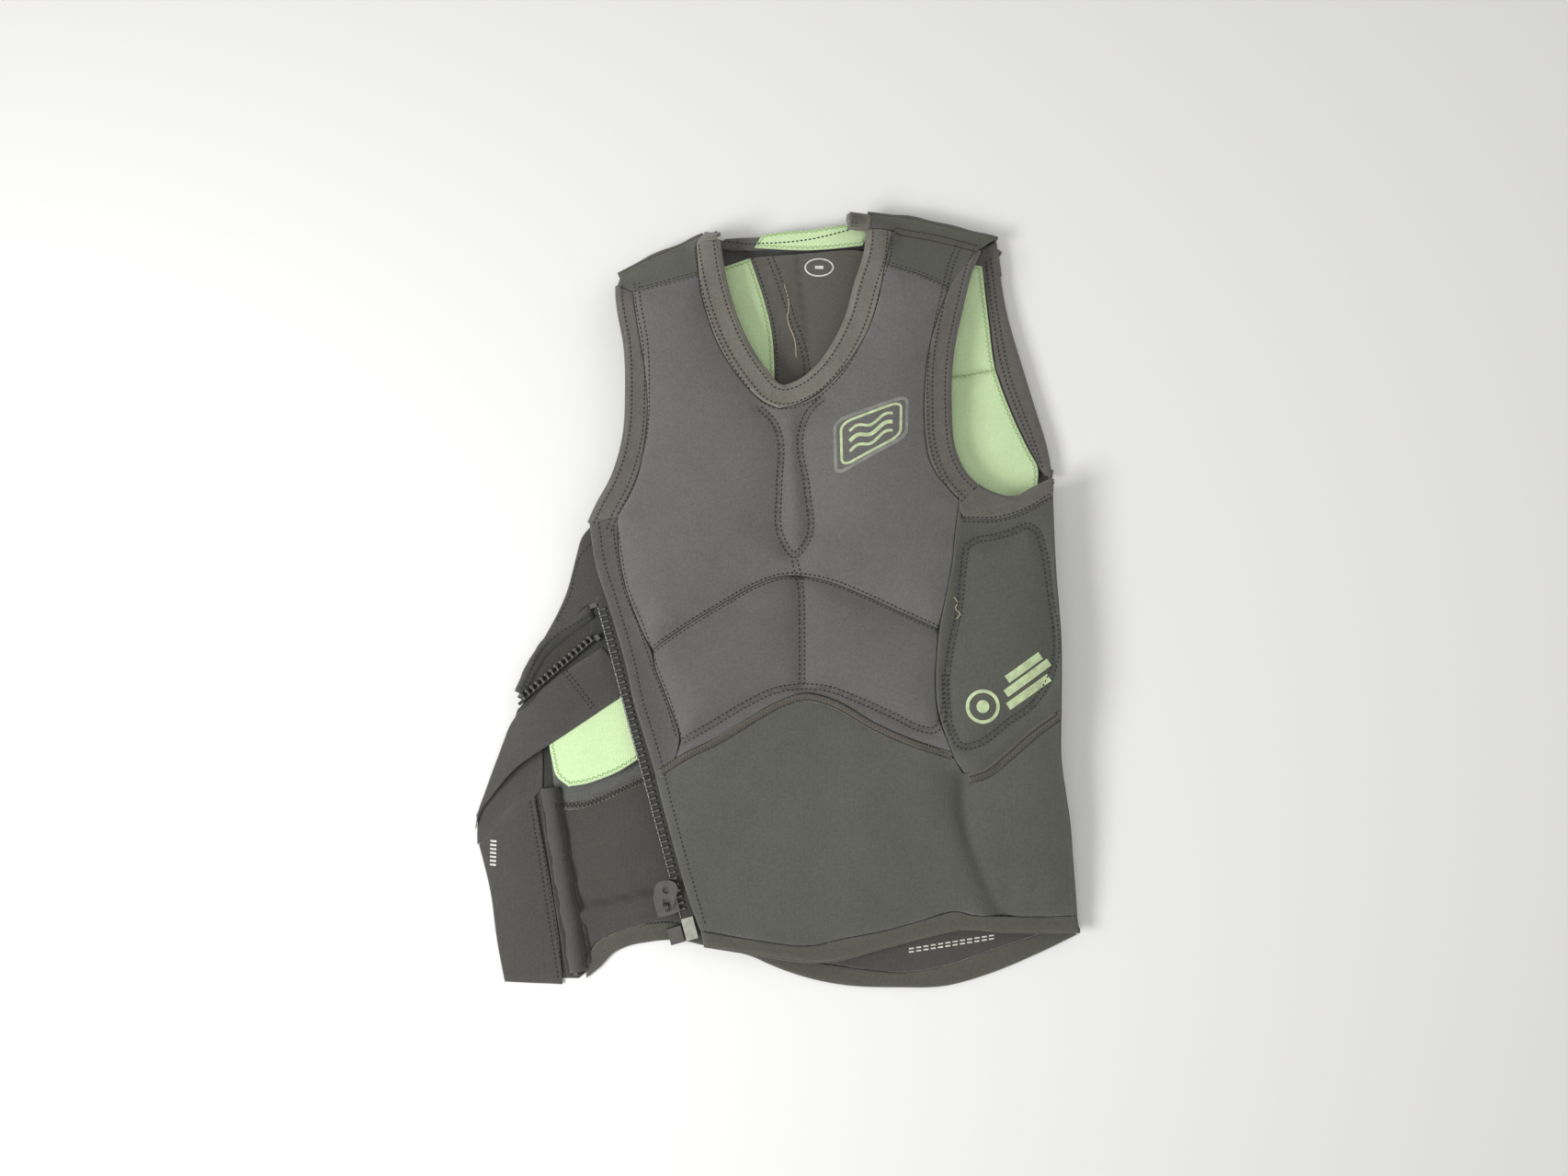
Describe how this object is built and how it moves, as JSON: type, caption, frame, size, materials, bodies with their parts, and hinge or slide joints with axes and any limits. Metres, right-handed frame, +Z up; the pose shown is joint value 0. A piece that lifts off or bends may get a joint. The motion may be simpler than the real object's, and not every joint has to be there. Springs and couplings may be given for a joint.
{
  "type": "side-zip foam vest",
  "caption": "Sleeveless side-zip foam vest for water sports, lying flat with its zip undone and its guard flap folded over.",
  "frame": {"origin": "at the mount back_rest_face, on the floor under the middle of the vest as it lies on its back", "axes": "+Y towards the neck, +X towards the wearer's left arm, +Z up off the floor, out of the chest"},
  "size_m": [0.4798, 0.6258, 0.0462],
  "materials": {
    "chest_neoprene": "matt knitted face",
    "stretch_neoprene": "matt knitted face",
    "edge_band": "brushed jersey",
    "seam_tape": "ribbed thread",
    "foam": "closed cell",
    "dark_lining": "jersey",
    "green_lining": "smooth jersey",
    "zip_tape": "woven",
    "zip_teeth": "gloss",
    "zip_plastic": "satin"
  },
  "bodies": {
    "vest": {"back_shell": "chest_neoprene", "chest_panel": "chest_neoprene", "abdomen_panel": "chest_neoprene", "zip_placket": "chest_neoprene", "shoulder_yoke_left": "chest_neoprene", "shoulder_yoke_right": "chest_neoprene", "shoulder_back_yoke_right": "chest_neoprene", "shoulder_fold_left": "chest_neoprene", "shoulder_fold_right": "chest_neoprene", "back_skirt_panel": "stretch_neoprene", "front_skirt_panel": "stretch_neoprene", "side_panel": "stretch_neoprene", "side_panel_fold": "stretch_neoprene", "skirt_fold": "stretch_neoprene", "side_back_panel": "stretch_neoprene", "guard_flap_upper": "stretch_neoprene", "guard_flap_root": "stretch_neoprene", "back_hem_band": "edge_band", "front_hem_band": "edge_band", "back_neck_band": "edge_band", "neck_band": "edge_band", "armhole_band_left": "edge_band", "armhole_band_right": "edge_band", "armhole_band_left_back": "edge_band", "armhole_band_right_back": "edge_band", "side_panel_binding": "edge_band", "back_waist_seam_tape": "seam_tape", "waist_seam_tape": "seam_tape", "side_seam_tape": "seam_tape", "shoulder_seam_tape_right": "seam_tape", "back_foam_left": "foam", "back_foam_centre": "foam", "back_foam_right": "foam", "chest_foam_left": "foam", "chest_foam_right": "foam", "abdomen_foam_left": "foam", "abdomen_foam_right": "foam", "side_foam": "foam", "back_lining_centre": "dark_lining", "front_lining": "dark_lining", "back_lining_left": "green_lining", "back_lining_right": "green_lining", "collar_facing": "green_lining", "zip_tape_front": "zip_tape", "zip_tape_back_upper": "zip_tape", "zip_tape_back_lower": "zip_tape", "zip_teeth_front": "zip_teeth", "zip_teeth_back_upper": "zip_teeth", "zip_teeth_back_lower": "zip_teeth", "zip_retainer_box": "zip_plastic", "zip_end_block": "zip_plastic", "zip_top_stop_front": "zip_plastic", "zip_top_stop_back": "zip_plastic", "zip_insertion_pin": "zip_plastic"},
    "zip_slider": {"zip_slider": "zip_plastic"},
    "zip_puller": {"zip_puller": "zip_plastic"},
    "guard_flap": {"guard_flap_lower": "stretch_neoprene"}
  },
  "joints": [
    {"name": "slider_travel", "type": "slide", "parent": "vest", "child": "zip_slider", "axis": [-0.2622, 0.9628, 0.0656], "range_m": [0, 0.216]},
    {"name": "puller_flip", "type": "hinge", "parent": "zip_slider", "child": "zip_puller", "pos_m": [-0.08687, -0.24242, 0.02052], "axis": [0.9983, 0.0569, -0.0136], "range_deg": [0, 170]},
    {"name": "guard_flap_lift", "type": "hinge", "parent": "vest", "child": "guard_flap", "pos_m": [-0.1944, -0.154, 0.003], "axis": [-0.1738, 0.9848, 0], "range_deg": [0, 60]}
  ]
}
